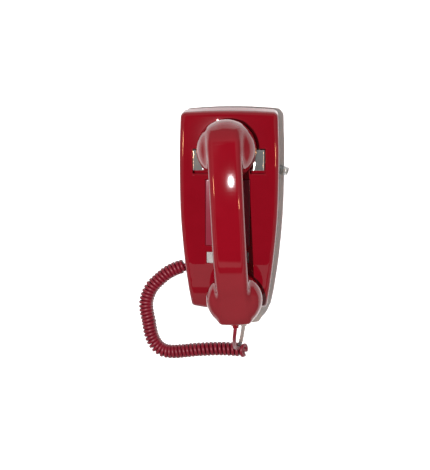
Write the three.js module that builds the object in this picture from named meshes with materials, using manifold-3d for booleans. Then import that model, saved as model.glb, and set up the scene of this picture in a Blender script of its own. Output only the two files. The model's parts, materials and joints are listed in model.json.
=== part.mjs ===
// A slim, tapered wall telephone without a dial, with a round-ended handset hung between two chromed prongs.
// Millimetres. +X is the phone's right, +Y its top, and +Z points out of the wall.
// The origin is the middle of the face that goes against the wall.

import * as THREE from 'three';
import { mergeVertices } from 'three/addons/utils/BufferGeometryUtils.js';
import Module from 'manifold-3d';

const wasm = await Module();
wasm.setup();

// ---------------------------------------------------------------- driving dimensions

const GAP = 0.3; // kept between pieces that touch

// Housing
const FACE_Z = 50; // height of the front face above the wall
const WALL = 2.5;
const EDGE_RADIUS = 5; // rounding between the front face and the sides
const SIDE_PROFILE = [ // [y, half-width] down the right edge of the front face
	[ 100.3, 52.9 ], [ 60, 54.2 ], [ 10, 53.8 ], [ - 22, 52.2 ], [ - 52, 49.4 ], [ - 76, 46.7 ], [ - 106, 42.8 ],
];
const TOP_CORNER = 6;
const BOTTOM_CORNER = 5;
const BOTTOM_BOW = 4; // the bottom edge is bowed out by this much in its middle
const SIDE_DRAFT = 1.5; // how much wider the sides are at the wall
const TOP_DRAFT = 3.2; // and the top edge
const FACE_TOP_BOW = 1.4; // how far the top edge bows out in its middle, at the face
const WALL_TOP_BOW = 2.2; // and at the wall
const SLOPE_START = - 58; // below this the front face leans back to the wall
const SLOPE = 0.16;
const CURL_START = - 85; // and below this it curls back further
const CURL = 0.009;

// Rest for the earpiece, and the slots for the two prongs
const WELL = { y: 68.3, radius: 28, floor: 45, rimRadius: 31 };
const PRONG = {
	outer: 38, innerTop: 28, innerBottom: 24, yTop: 66.2, yBottom: 45.8, top: 61,
	slope: 7, // degrees; the end falls away from the earpiece
};
const SLOT = { inner: 22.8, outer: 39.2, yTop: 67.2, yBottom: 40.6 };
const HOOK_PIVOT = { y: 60, z: 17, pinRadius: 2, boreRadius: 2.2 };

// Blank panel in place of a dial, and the number card below it
const PANEL_X = - 1.2; // both lie a little to the left of the middle
const PANEL = { halfWidth: 24, yTop: 34, yBottom: - 38, thickness: 1.5, proud: 0.7 };
const CARD = { halfWidth: 22.8, yTop: - 46, yBottom: - 57.6, thickness: 0.4, window: 0.7 };

// Base plate of pressed steel
const PLATE = 1.6;
const PLATE_INSET = WALL + 0.5;
const STUD_SPACING = 83.3; // standard spacing of the two studs on a telephone wall plate
const UPPER_STUD_Y = 80;
const POCKET = { x0: - 32, x1: 60, y0: 6, y1: 54, top: 8 }; // hollow at the back for the line lead
const LINE_GROMMET = { y: 14, z: 4.6, radius: 2.7 };
const SCREW_Y = - 92;

// Contacts worked by the hook, and the network block with its terminals
const LEAF = { root: 12, tip: 38, z: HOOK_PIVOT.z - 3.1, thickness: 0.6 };
const NETWORK = { x0: - 42, x1: 4, y0: 8, y1: 40, z0: POCKET.top + PLATE + GAP, z1: 27 };
const TERMINALS = { count: 4, margin: 8, spacing: 10 };

// Ringer
const GONG = { x: 22.5, y: - 48, radius: 17, rim: 13, top: 23, sheet: 1.2 };
const CLAPPER = { pivotY: - 29, ballY: - 50, z: 15, ballRadius: 3.4 };

// Loudness wheel, which shows through the bottom edge
const WHEEL = { x: 24, y: - 104.3, radius: 11.4, z0: 4, z1: 8 };

// Handset, in its own frame: y along it, z up from the earpiece's flat front
const HANDSET = { x: 2.6, y: - 10.5, z: 46.6, yaw: 3.1, roll: - 1.6, rollHeight: 28 };
const CUP_SPACING = 156;
const HANDLE_END = - 110.3;
const HANDLE_END_CORNER = 4; // the flat end's two corners are cut off by this much
const RECEIVER_RADIUS = 31.6;
const TRANSMITTER_RADIUS = 30.4;
const TRANSMITTER_TILT = 12; // degrees, so that the mouthpiece lies along the sloping part of the face
const TRANSMITTER_DROP = - 0.8; // how far the mouthpiece's middle lies below the earpiece's
const CAP = { front: 23.6, waist: 25.2, waistHeight: 15, rimHeight: 21, skirtTop: 27, skirtInner: 25.2 };
const HANDLE_BACK = [ // [y, height] along the back of the handle
	[ 108, 33 ], [ 104, 41 ], [ 98, 49 ], [ 91.5, 54.6 ], [ 86, 57 ], [ 80, 57.7 ], [ 55, 59.4 ], [ 25, 60.9 ],
	[ 0, 61.2 ], [ - 25, 60.4 ], [ - 41, 58.8 ], [ - 53, 55.4 ], [ - 70, 48.8 ], [ - 90, 40 ], [ HANDLE_END, 31 ],
];
const HANDLE_UNDERSIDE = [
	[ 108, 22 ], [ 102, 23 ], [ 94, 25 ], [ 80, 29 ], [ 55, 36.5 ], [ 25, 40 ], [ 0, 40.5 ], [ - 25, 39.5 ],
	[ - 41, 37 ], [ - 53, 34 ], [ - 70, 27 ], [ - 90, 18 ], [ HANDLE_END, 12 ],
];
const HANDLE_HALF_WIDTH = 17.6;
const HANDLE_WALL = 4;
const CORD_EXIT_HEIGHT = 24.6;

// Cords
const WIRE_RADIUS = 2.1;
const COIL_RADIUS = 8.1;
const COIL_Z = 8.3;
const COIL_RING = { x: 15.6, y: - 168.6, z: 7.7, radius: 5.2, lean: 62 }; // the last turn, which leans over
const JACK = { x0: - 40, x1: - 22, y: - 66, z0: PLATE + GAP, z1: 12.4 };
const HANDSET_PLUG = { x0: - 43, x1: - 26.8, halfWidth: 3.8, z0: 3.7, z1: 10.2 };
const COIL_ROUTE = [ // middle line of the curly part, from the jack to below the handset
	[ - 51.4, - 68.6, COIL_Z ], [ - 63, - 72, COIL_Z ], [ - 74, - 77.8, COIL_Z ], [ - 83, - 85.3, COIL_Z ],
	[ - 91, - 93.3, COIL_Z ], [ - 96, - 102.5, COIL_Z ], [ - 98.8, - 113, COIL_Z ], [ - 98.2, - 124, COIL_Z ],
	[ - 96, - 134.8, COIL_Z ], [ - 94.5, - 145.5, COIL_Z ], [ - 92, - 155, COIL_Z ], [ - 87, - 164, COIL_Z ],
	[ - 79, - 170, COIL_Z ], [ - 68, - 171.6, COIL_Z ], [ - 56, - 170.6, COIL_Z ], [ - 41, - 168.8, COIL_Z ],
	[ - 25, - 167.6, COIL_Z ], [ - 10, - 167, COIL_Z ], [ 4, - 167.4, COIL_Z ], [ 11.4, - 168, COIL_Z ],
];
const JACK_LEAD_ROUTE = [ [ - 43.4, - 66, 6.9 ], [ - 46, - 66.2, 7 ], [ - 50.4, - 67.6, 7.6 ] ];
const HANDSET_LEAD_ROUTE = [
	[ 8.8, - 123.2, 71.2 ], [ 8.3, - 128.5, 71 ], [ 7.5, - 136, 68.4 ], [ 7.1, - 143, 61.8 ], [ 6.7, - 149.5, 52.5 ],
	[ 6.3, - 155, 42 ], [ 5.8, - 160, 31 ], [ 5.5, - 163.6, 21 ], [ 5.4, - 164.6, 16.8 ],
];
const LINE_CORD_ROUTE = [
	[ - 27.6, 14, 4.6 ], [ - 18, 13.8, 3.8 ], [ - 6, 12.6, 2.8 ], [ 8, 11.8, 2.5 ], [ 20, 13.4, 2.5 ],
	[ 28, 19, 2.5 ], [ 31.5, 27.5, 2.6 ], [ 34, 36, 3 ], [ 38.2, 42.6, 3.8 ], [ 43, 45.6, 4.1 ], [ 47.6, 45.6, 4.2 ],
	[ 51.1, 44.5, 4.2 ],
];
const LINE_PLUG = { x: 51.6, y: 44.4, length: 13.6, turn: - 20, halfWidth: 4.8, z0: 1, z1: 7.4 }; // from its back end
const LINE_EXIT = { y0: 37, y1: 51.5, top: 8.4 }; // opening through the right side for the plug
const PLUG_LATCH = { halfWidth: 1.6, thickness: 0.7, rootLength: 2.5, rootDepth: 1.5, rise: 0.9 };

// ---------------------------------------------------------------- materials

const finishes = {
	redPlastic: { color: 0x8b0a18, roughness: 0.16, metalness: 0 },
	chrome: { color: 0xc9c7c4, roughness: 0.12, metalness: 1 },
	steel: { color: 0x9a9a97, roughness: 0.4, metalness: 1 },
	springSteel: { color: 0xb8b7b0, roughness: 0.3, metalness: 1 },
	gongBrass: { color: 0xb79a5b, roughness: 0.28, metalness: 1 },
	nickelSilver: { color: 0xc2bca8, roughness: 0.3, metalness: 1 },
	copperWinding: { color: 0x7c3a1d, roughness: 0.45, metalness: 0.3 },
	blackPlastic: { color: 0x191919, roughness: 0.5, metalness: 0 },
	greyPlastic: { color: 0x6f7272, roughness: 0.5, metalness: 0 },
	clearPlastic: { color: 0xd4dada, roughness: 0.1, metalness: 0 },
	paper: { color: 0xd9d3cf, roughness: 0.85, metalness: 0 },
	cordRed: { color: 0x82192d, roughness: 0.35, metalness: 0 },
};

// ---------------------------------------------------------------- geometry helpers

/** A manifold-3d solid from a three.js geometry, joined at its seams and without collapsed triangles. */
function solid( geometry ) {

	const bare = new THREE.BufferGeometry();
	bare.setAttribute( 'position', geometry.getAttribute( 'position' ).clone() );
	if ( geometry.index ) bare.setIndex( geometry.index.clone() );
	const merged = mergeVertices( bare, 1e-4 );
	const corners = merged.index.array;
	const kept = [];
	for ( let i = 0; i < corners.length; i += 3 ) {

		const [ a, b, c ] = [ corners[ i ], corners[ i + 1 ], corners[ i + 2 ] ];
		if ( a !== b && b !== c && c !== a ) kept.push( a, b, c );

	}

	return new wasm.Manifold( new wasm.Mesh( {
		numProp: 3,
		vertProperties: new Float32Array( merged.getAttribute( 'position' ).array ),
		triVerts: new Uint32Array( kept ),
	} ) );

}

/** The three.js geometry of a manifold-3d solid. */
function geometryOf( body ) {

	const mesh = body.getMesh();
	const geometry = new THREE.BufferGeometry();
	geometry.setAttribute( 'position', new THREE.BufferAttribute( new Float32Array( mesh.vertProperties ), 3 ) );
	geometry.setIndex( new THREE.BufferAttribute( new Uint32Array( mesh.triVerts ), 1 ) );
	geometry.computeVertexNormals();
	return geometry;

}

/** A box between two values on each axis. */
function box( x0, x1, y0, y1, z0, z1 ) {

	return new THREE.BoxGeometry( x1 - x0, y1 - y0, z1 - z0 )
		.translate( ( x0 + x1 ) / 2, ( y0 + y1 ) / 2, ( z0 + z1 ) / 2 );

}

/** A cylinder or cone along Z, standing on z0. */
function rod( radius, z0, z1, sides = 24, topRadius = radius ) {

	return new THREE.CylinderGeometry( topRadius, radius, z1 - z0, sides )
		.rotateX( Math.PI / 2 ).translate( 0, 0, ( z0 + z1 ) / 2 );

}

/** A turned shape about Z, from [radius, height] pairs. */
function turned( profile, sides = 40 ) {

	return new THREE.LatheGeometry( profile.map( ( [ r, h ] ) => new THREE.Vector2( r, h ) ), sides )
		.rotateX( Math.PI / 2 );

}

/** The profile of a closed ring, for turned(). */
function ringProfile( innerRadius, outerRadius, z0, z1 ) {

	return [
		[ innerRadius, z0 ], [ outerRadius, z0 ], [ outerRadius, z1 ], [ innerRadius, z1 ], [ innerRadius, z0 ],
	];

}

/**
 * A closed skin over rings that are each mirrored about x = 0. Each ring is given as its right half,
 * a list of points whose first and last lie on x = 0, and the end rings are closed straight across.
 */
function mirroredLoft( halfRings ) {

	const last = halfRings[ 0 ].length - 1;
	const around = 2 * last;
	const positions = [];
	for ( const half of halfRings ) {

		for ( const p of half ) positions.push( p.x, p.y, p.z );
		for ( let i = last - 1; i > 0; i -- ) positions.push( - half[ i ].x, half[ i ].y, half[ i ].z );

	}

	const faces = [];
	for ( let k = 0; k < halfRings.length - 1; k ++ ) {

		for ( let i = 0; i < around; i ++ ) {

			const a = k * around + i;
			const b = k * around + ( i + 1 ) % around;
			faces.push( a, a + around, b, b, a + around, b + around );

		}

	}

	const closeEnd = ( ring, flip ) => {

		const at = ( i ) => ring * around + ( i + around ) % around;
		for ( let i = 0; i < last; i ++ ) {

			const quad = [ at( i ), at( i + 1 ), at( - i - 1 ), at( - i ) ];
			if ( flip ) quad.reverse();
			const [ a, b, c, d ] = quad;
			if ( a !== b && b !== c && a !== c ) faces.push( a, b, c );
			if ( a !== c && c !== d && a !== d ) faces.push( a, c, d );

		}

	};

	closeEnd( 0, false );
	closeEnd( halfRings.length - 1, true );
	const geometry = new THREE.BufferGeometry();
	geometry.setAttribute( 'position', new THREE.Float32BufferAttribute( positions, 3 ) );
	geometry.setIndex( faces );
	return geometry;

}

/** A round cord along points, as a closed many-sided tube. */
function cordTube( route, radius, sides, steps ) {

	const outline = new THREE.Shape();
	for ( let i = 0; i < sides; i ++ ) {

		const turn = i / sides * 2 * Math.PI;
		const point = [ radius * Math.cos( turn ), radius * Math.sin( turn ) ];
		if ( i === 0 ) outline.moveTo( ...point );
		else outline.lineTo( ...point );

	}

	const path = new THREE.CatmullRomCurve3( route.map( ( p ) => new THREE.Vector3( ...p ) ), false, 'centripetal' );
	return new THREE.ExtrudeGeometry( outline, { steps, extrudePath: path } );

}

/** The height at y on a list of [y, height] pairs that runs down from high y, along a smooth curve. */
function heightAlong( pairs, y ) {

	const curve = new THREE.SplineCurve( pairs.map( ( [ v, h ] ) => new THREE.Vector2( v, h ) ) );
	let low = 0;
	let high = 1;
	for ( let i = 0; i < 30; i ++ ) {

		const middle = ( low + high ) / 2;
		if ( curve.getPoint( middle ).x > y ) low = middle;
		else high = middle;

	}

	return curve.getPoint( low ).y;

}

// ---------------------------------------------------------------- housing shapes

/** Height of the outside of the front face at y. */
function faceHeight( y ) {

	const leaned = Math.max( 0, SLOPE_START - y );
	const curled = Math.max( 0, CURL_START - y );
	return FACE_Z - SLOPE * leaned - CURL * curled * curled;

}

/** The right half of the housing's outline, grown by the given amounts at its sides, top and bottom. */
function housingHalf( grow, height ) {

	const points = [];
	const topX = SIDE_PROFILE[ 0 ][ 1 ] - TOP_CORNER;
	const topY = SIDE_PROFILE[ 0 ][ 0 ];
	const [ bottomY, bottomWidth ] = SIDE_PROFILE[ SIDE_PROFILE.length - 1 ];
	const bottomX = bottomWidth - BOTTOM_CORNER;
	const add = ( x, y ) => points.push( new THREE.Vector3( x, y, height( y ) ) );
	const topSteps = 8;
	for ( let i = 0; i < topSteps; i ++ ) {

		const x = topX * i / topSteps;
		add( x, topY + TOP_CORNER + grow.top + grow.topBow * ( 1 - ( x / topX ) ** 2 ) );

	}

	const cornerSteps = 5;
	for ( let i = 0; i < cornerSteps; i ++ ) {

		const turn = ( 1 - i / cornerSteps ) * Math.PI / 2;
		add( topX + ( TOP_CORNER + grow.side ) * Math.cos( turn ), topY + ( TOP_CORNER + grow.top ) * Math.sin( turn ) );

	}

	const sideSteps = 14;
	for ( let i = 0; i < sideSteps; i ++ ) {

		const y = topY + ( bottomY - topY ) * i / sideSteps;
		add( heightAlong( SIDE_PROFILE, y ) + grow.side, y );

	}

	for ( let i = 0; i < cornerSteps; i ++ ) {

		const turn = i / cornerSteps * Math.PI / 2;
		add(
			bottomX + ( BOTTOM_CORNER + grow.side ) * Math.cos( turn ),
			bottomY - ( BOTTOM_CORNER + grow.bottom ) * Math.sin( turn ),
		);

	}

	for ( let i = topSteps; i >= 0; i -- ) {

		const x = bottomX * i / topSteps;
		add( x, bottomY - BOTTOM_CORNER - grow.bottom - BOTTOM_BOW * ( 1 - ( x / bottomX ) ** 2 ) );

	}

	return points;

}

/** The housing's outer body, or its hollow when inset by the wall. */
function housingBody( inset, floor ) {

	const radius = EDGE_RADIUS - 0.6 * inset;
	const grown = ( side, top, topBow ) => ( { side, top, topBow, bottom: side } );
	const rings = [ housingHalf( grown( SIDE_DRAFT - inset, TOP_DRAFT - inset, WALL_TOP_BOW ), () => floor ) ];
	const edgeSteps = 4;
	for ( let i = 0; i <= edgeSteps; i ++ ) {

		const turn = i / edgeSteps * Math.PI / 2;
		const pulled = - inset - radius * ( 1 - Math.cos( turn ) );
		const height = ( y ) => faceHeight( y ) - inset - radius * ( 1 - Math.sin( turn ) );
		rings.push( housingHalf( grown( pulled, pulled, FACE_TOP_BOW ), height ) );

	}

	return solid( mirroredLoft( rings ) );

}

/** What is cut off a prong so that its end slopes down away from the earpiece. */
function prongSlope( side ) {

	const margin = 2;
	const width = PRONG.outer + margin - PRONG.innerBottom;
	const drop = width * Math.tan( THREE.MathUtils.degToRad( PRONG.slope ) );
	const wedge = new THREE.Shape();
	wedge.moveTo( side * PRONG.innerBottom, PRONG.top );
	wedge.lineTo( side * ( PRONG.outer + margin ), PRONG.top - drop );
	wedge.lineTo( side * ( PRONG.outer + margin ), PRONG.top + margin );
	wedge.lineTo( side * PRONG.innerBottom, PRONG.top + margin );
	wedge.closePath();
	return new THREE.ExtrudeGeometry( wedge, { depth: PRONG.yTop - PRONG.yBottom + 2 * margin, bevelEnabled: false } )
		.rotateX( Math.PI / 2 ).translate( 0, PRONG.yTop + margin, 0 );

}

/** The front end of a prong seen from the front: upright outside, slanting inside. side is 1 or -1. */
function prongOutline( side, margin ) {

	const outline = new THREE.Shape();
	outline.moveTo( side * ( PRONG.innerTop - margin ), PRONG.yTop + margin );
	outline.lineTo( side * ( PRONG.outer + margin ), PRONG.yTop + margin );
	outline.lineTo( side * ( PRONG.outer + margin ), PRONG.yBottom - margin );
	outline.lineTo( side * ( PRONG.innerBottom - margin ), PRONG.yBottom - margin );
	outline.closePath();
	return outline;

}

function housing() {

	let body = housingBody( 0, 0 ).subtract( housingBody( WALL, - 2 ) );
	const wellRing = rod( WELL.rimRadius + WALL, WELL.floor - WALL, FACE_Z - 1, 40 ).translate( 0, WELL.y, 0 );
	body = body.add( solid( wellRing ) );
	const wellHollow = rod( WELL.radius, WELL.floor, FACE_Z + 1, 40, WELL.rimRadius ).translate( 0, WELL.y, 0 );
	body = body.subtract( solid( wellHollow ) );
	for ( const side of [ - 1, 1 ] ) {

		const xs = [ side * SLOT.inner, side * SLOT.outer ].sort( ( a, b ) => a - b );
		body = body.subtract( solid( box( ...xs, SLOT.yBottom, SLOT.yTop, FACE_Z - 14, FACE_Z + 5 ) ) );

	}

	// Shallow recesses for the blank panel and for the card
	const panelFloor = FACE_Z - PANEL.thickness + PANEL.proud - GAP;
	const cardFloor = FACE_Z - CARD.thickness - CARD.window - 2 * GAP;
	for ( const [ part, floor ] of [ [ PANEL, panelFloor ], [ CARD, cardFloor ] ] ) {

		const halfWidth = part.halfWidth + GAP;
		body = body.subtract( solid(
			box( PANEL_X - halfWidth, PANEL_X + halfWidth, part.yBottom - GAP, part.yTop + GAP, floor, FACE_Z + 5 ),
		) );

	}

	// Boss for the screw at the foot
	const boss = rod( 4.2, PLATE + GAP, FACE_Z - 9, 20 ).translate( 0, SCREW_Y, 0 );
	const bore = rod( 1.9, 0, 24, 16 ).translate( 0, SCREW_Y, 0 );
	body = body.add( solid( boss ) ).subtract( solid( bore ) );

	// Openings in the rim: handset lead on the left, line lead on the right, loudness wheel at the foot
	const openings = [
		box( - 60, - 38, JACK.y - 5.5, JACK.y + 5.5, - 1, JACK.z1 - 0.4 ),
		box( 44, 64, LINE_EXIT.y0, LINE_EXIT.y1, - 1, LINE_EXIT.top ),
		box( WHEEL.x - 10, WHEEL.x + 10, WHEEL.y - 16, WHEEL.y + 0.5, WHEEL.z0 - 0.8, WHEEL.z1 + 0.8 ),
	];
	for ( const opening of openings ) body = body.subtract( solid( opening ) );
	return body;

}

// ---------------------------------------------------------------- base plate

function basePlate() {

	const inset = { side: SIDE_DRAFT - PLATE_INSET, top: TOP_DRAFT - PLATE_INSET - 0.8, topBow: WALL_TOP_BOW };
	const grown = { ...inset, bottom: inset.side };
	const rings = [ 0, PLATE ].map( ( z ) => housingHalf( grown, () => z ) );
	let body = solid( mirroredLoft( rings ) );

	// The pocket is a shallow box pressed forward, open at the back and at the right edge
	const { x0, x1, y0, y1, top } = POCKET;
	const outer = box( x0 - PLATE, 47, y0 - PLATE, y1 + PLATE, 0, top + PLATE );
	body = body.add( solid( outer ) ).subtract( solid( box( x0, 43, y0, y1, - 1, top ) ) );
	body = body.subtract( solid( box( 40, x1, LINE_EXIT.y0, LINE_EXIT.y1, - 1, top ) ) );

	// Keyholes for the two studs, the screw hole, and the hole for the line lead's grommet
	for ( const y of [ UPPER_STUD_Y, UPPER_STUD_Y - STUD_SPACING ] ) {

		body = body.subtract( solid( rod( 4.5, - 1, 3, 20 ).translate( 0, y - 7, 0 ) ) );
		body = body.subtract( solid( box( - 2.3, 2.3, y - 7, y + 1, - 1, 3 ) ) );

	}

	for ( const [ radius, depth ] of [ [ 2, 3 ], [ 4, 1.25 ] ] ) {

		body = body.subtract( solid( rod( radius, - 1, depth, 18 ).translate( 0, SCREW_Y, 0 ) ) );

	}

	const { y, z, radius } = LINE_GROMMET;
	const grommetHole = rod( radius + GAP, - 3, 3, 16 ).rotateY( Math.PI / 2 ).translate( x0, y, z );
	return body.subtract( solid( grommetHole ) );

}

// ---------------------------------------------------------------- switchhook

function cradle() {

	const { y, z, boreRadius } = HOOK_PIVOT;
	let body = solid( box( - 38, 38, y - 5.5, y + 5.5, z - 4, z + 4 ) );
	for ( const side of [ - 1, 1 ] ) {

		const xs = [ side * 27, side * 37 ].sort( ( a, b ) => a - b );
		body = body.add( solid( box( ...xs, y - 6, y + 4, z - 4, FACE_Z - 3 ) ) );
		const prong = new THREE.ExtrudeGeometry( prongOutline( side, 0 ), {
			depth: PRONG.top - ( FACE_Z - 6 ) - 1,
			bevelEnabled: true,
			bevelThickness: 1,
			bevelSize: 1,
			bevelOffset: - 1,
			bevelSegments: 2,
		} ).translate( 0, 0, FACE_Z - 6 );
		body = body.add( solid( prong ).subtract( solid( prongSlope( side ) ) ) );

	}

	// Space for the return spring, a finger for the contacts, and the bore of the pin
	body = body.subtract( solid( box( - 9, 9, y - 3.8, y + 6, z - 6, z + 6 ) ) );
	body = body.add( solid( box( 16, 21, y - 24, y - 5, z - 2.6, z + 0.6 ) ) );
	return body.subtract( solid( rod( boreRadius, - 45, 45, 16 ).rotateY( Math.PI / 2 ).translate( 0, y, z ) ) );

}

function pivotBracket() {

	const { y, z, boreRadius } = HOOK_PIVOT;
	let body = solid( box( - 42.6, 42.6, y - 3.9, y + 5, PLATE + GAP, PLATE + GAP + 1.5 ) );
	for ( const side of [ - 1, 1 ] ) {

		const xs = [ side * 40.8, side * 42.6 ].sort( ( a, b ) => a - b );
		body = body.add( solid( box( ...xs, y - 3.9, y + 5, PLATE + GAP, z + 5 ) ) );

	}

	return body.subtract( solid( rod( boreRadius, - 45, 45, 16 ).rotateY( Math.PI / 2 ).translate( 0, y, z ) ) );

}

function returnSpring() {

	const { y, z } = HOOK_PIVOT;
	const winding = turned( ringProfile( 2.4, 3.4, - 7.5, 7.5 ), 16 ).rotateY( Math.PI / 2 ).translate( 0, y, z );
	const leg = box( - 7.3, - 6.4, y + 2.4, y + 3.3, PLATE + 2 + GAP, z );
	return solid( winding ).add( solid( leg ) );

}

function contactPile() {

	const body = solid( box( 12, 25, 9, 16, POCKET.top + PLATE + GAP, 24 ) );
	return body.subtract( solid( box( 11, 26, LEAF.root - 1.6, 17, LEAF.z - 2.2, LEAF.z + 2.2 ) ) );

}

function contactLeaf() {

	const blade = box( 16, 21, LEAF.root, LEAF.tip, LEAF.z - LEAF.thickness, LEAF.z );
	const eye = rod( 1, - 5.5, 5.5, 12 ).rotateY( Math.PI / 2 ).translate( 18.5, LEAF.root, LEAF.z - LEAF.thickness / 2 );
	return solid( blade ).add( solid( eye ) );

}

// ---------------------------------------------------------------- ringer

function ringerFrame() {

	// The bridge stands clear of the plate, so that a wall stud has room in the keyhole below it
	let body = solid( box( - 13, 13, - 25.5, 0, 7.2, 8.7 ) );
	for ( const [ y0, y1 ] of [ [ - 25.5, - 23.5 ], [ - 2, 0 ] ] ) {

		body = body.add( solid( box( - 12, 12, y0, y1, PLATE + GAP, 32.5 ) ) );

	}

	return body;

}

function ringerCoil() {

	const spool = turned( [
		[ 0, - 10.3 ], [ 11, - 10.3 ], [ 11, - 9 ], [ 9.4, - 9 ], [ 9.4, 9 ], [ 11, 9 ], [ 11, 10.3 ], [ 0, 10.3 ],
	], 24 );
	return solid( spool.rotateX( Math.PI / 2 ).translate( 0, - 12.75, 20.5 ) );

}

function clapper() {

	const { pivotY, ballY, z, ballRadius } = CLAPPER;
	let body = solid( box( - 10, 10, pivotY - 1, pivotY + 1.2, z - 4, z + 8 ) );
	body = body.add( solid( box( - 0.8, 0.8, ballY, pivotY, z - 0.8, z + 0.8 ) ) );
	return body.add( solid( new THREE.SphereGeometry( ballRadius, 14, 10 ).translate( 0, ballY, z ) ) );

}

/** A thin domed bell that opens towards the wall. */
function gong( x ) {

	const { y, radius, rim, top, sheet } = GONG;
	const profile = [
		[ 2.6, top ], [ radius - 6, top ], [ radius - 2, top - 2 ], [ radius, top - 6 ], [ radius, rim ],
		[ radius - sheet, rim ], [ radius - sheet, top - 6 ], [ radius - 3, top - 3 ],
		[ radius - 6.5, top - sheet ], [ 2.6, top - sheet ], [ 2.6, top ],
	];
	return solid( turned( profile.reverse(), 28 ).translate( x, y, 0 ) );

}

/** The post and slotted screw that hold a gong. */
function gongPost( x ) {

	const shank = rod( 2.2, PLATE + GAP, GONG.top + 0.4, 14 );
	const head = rod( 4.4, GONG.top + GAP, GONG.top + 2.4, 18 );
	const foot = rod( 4.4, PLATE + GAP, GONG.top - GONG.sheet - GAP, 18 );
	const slot = box( - 5, 5, - 0.5, 0.5, GONG.top + 1.5, GONG.top + 4 );
	const body = solid( shank ).add( solid( head ) ).add( solid( foot ) ).subtract( solid( slot ) );
	return body.translate( x, GONG.y, 0 );

}

function loudnessWheel() {

	let body = solid( rod( WHEEL.radius, WHEEL.z0, WHEEL.z1, 36 ) );
	const notches = 18;
	for ( let i = 0; i < notches; i ++ ) {

		const turn = i / notches * 2 * Math.PI;
		const notch = rod( 0.7, 0, 10, 6 ).translate( WHEEL.radius * Math.cos( turn ), WHEEL.radius * Math.sin( turn ), 0 );
		body = body.subtract( solid( notch ) );

	}

	body = body.subtract( solid( rod( 2.3, 0, 10, 16 ) ) );
	return body.translate( WHEEL.x, WHEEL.y, 0 );

}

// ---------------------------------------------------------------- jacks, plugs and small parts

function handsetJack() {

	const plug = HANDSET_PLUG;
	const body = solid( box( JACK.x0, JACK.x1, JACK.y - 7, JACK.y + 7, JACK.z0, JACK.z1 ) );
	const socket = box( JACK.x0 - 1, plug.x1 + GAP, JACK.y - plug.halfWidth - GAP, JACK.y + plug.halfWidth + GAP,
		plug.z0 - GAP, plug.z1 + GAP );
	return body.subtract( solid( socket ) );

}

/** A modular plug along X with a latch on its upper side. */
function modularPlug( x0, x1, y, halfWidth, z0, z1 ) {

	const { halfWidth: half, thickness, rootLength, rootDepth, rise } = PLUG_LATCH;
	const body = solid( box( x0, x1, y - halfWidth, y + halfWidth, z0, z1 - rise ) );
	const latchRoot = box( x1 - rootLength, x1, y - half, y + half, z1 - rootDepth, z1 );
	const latch = box( x0 + 1, x1, y - half, y + half, z1 - thickness, z1 );
	return body.add( solid( latchRoot ) ).add( solid( latch ) );

}

/** The line lead's plug hangs out of the right side at a slant. */
function linePlug() {

	const { x, y, length, turn, halfWidth, z0, z1 } = LINE_PLUG;
	return modularPlug( 0, length, 0, halfWidth, z0, z1 ).rotate( 0, 0, turn ).translate( x, y, 0 );

}

function roundHeadScrew( x, y, z0, z1, radius ) {

	const shank = rod( radius, z0, z1, 12 );
	const head = rod( radius * 2, z1 - 1.6, z1, 16 );
	const slot = box( - radius * 2, radius * 2, - 0.4, 0.4, z1 - 0.7, z1 + 1 );
	return solid( shank ).add( solid( head ) ).subtract( solid( slot ) ).translate( x, y, 0 );

}

/** The housing's screw goes in from the back, so its head lies in the plane of the plate. */
function housingScrew() {

	const shank = rod( 1.5, 0.2, 20, 12 );
	const head = rod( 3.6, 0.2, 0.95, 18 );
	const screw = solid( shank ).add( solid( head ) ).subtract( solid( box( - 4, 4, - 0.4, 0.4, - 1, 0.6 ) ) );
	return screw.translate( 0, SCREW_Y, 0 );

}

/** The curly part of the handset's cord as one thick tube, with its last turn as a ring. */
function cordCoil() {

	const ring = new THREE.TorusGeometry( COIL_RING.radius, WIRE_RADIUS, 8, 20 )
		.rotateY( THREE.MathUtils.degToRad( COIL_RING.lean ) )
		.translate( COIL_RING.x, COIL_RING.y, COIL_RING.z );
	return solid( cordTube( COIL_ROUTE, COIL_RADIUS, 12, 34 ) ).add( solid( ring ) );

}

// ---------------------------------------------------------------- handset

/** The right half of a slice across the handle at y, pulled in by inset all round. */
function handleSlice( y, inset ) {

	const back = heightAlong( HANDLE_BACK, y ) - inset;
	const under = heightAlong( HANDLE_UNDERSIDE, y ) + inset;
	const half = HANDLE_HALF_WIDTH - inset;
	const radius = Math.min( 6.5, half, ( back - under ) / 2 - 0.5 );
	const points = [ new THREE.Vector3( 0, y, back ) ];
	const steps = 4;
	for ( const [ from, centre ] of [ [ 1, back - radius ], [ 0, under + radius ] ] ) {

		for ( let i = 0; i <= steps; i ++ ) {

			const turn = ( from - i / steps ) * Math.PI / 2;
			points.push( new THREE.Vector3( half - radius + radius * Math.cos( turn ), y, centre + radius * Math.sin( turn ) ) );

		}

	}

	points.push( new THREE.Vector3( 0, y, under ) );
	return points;

}

function handleBody( inset, from, to ) {

	const steps = 18;
	const slices = [];
	for ( let i = 0; i <= steps; i ++ ) slices.push( handleSlice( from + ( to - from ) * i / steps, inset ) );
	return solid( mirroredLoft( slices ) );

}

/** Moves a geometry from a cup's own frame to the handset's. */
function toTransmitter( geometry ) {

	return geometry
		.rotateX( THREE.MathUtils.degToRad( TRANSMITTER_TILT ) )
		.translate( 0, - CUP_SPACING / 2, TRANSMITTER_DROP );

}

function toReceiver( geometry ) {

	return geometry.translate( 0, CUP_SPACING / 2, 0 );

}

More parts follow.
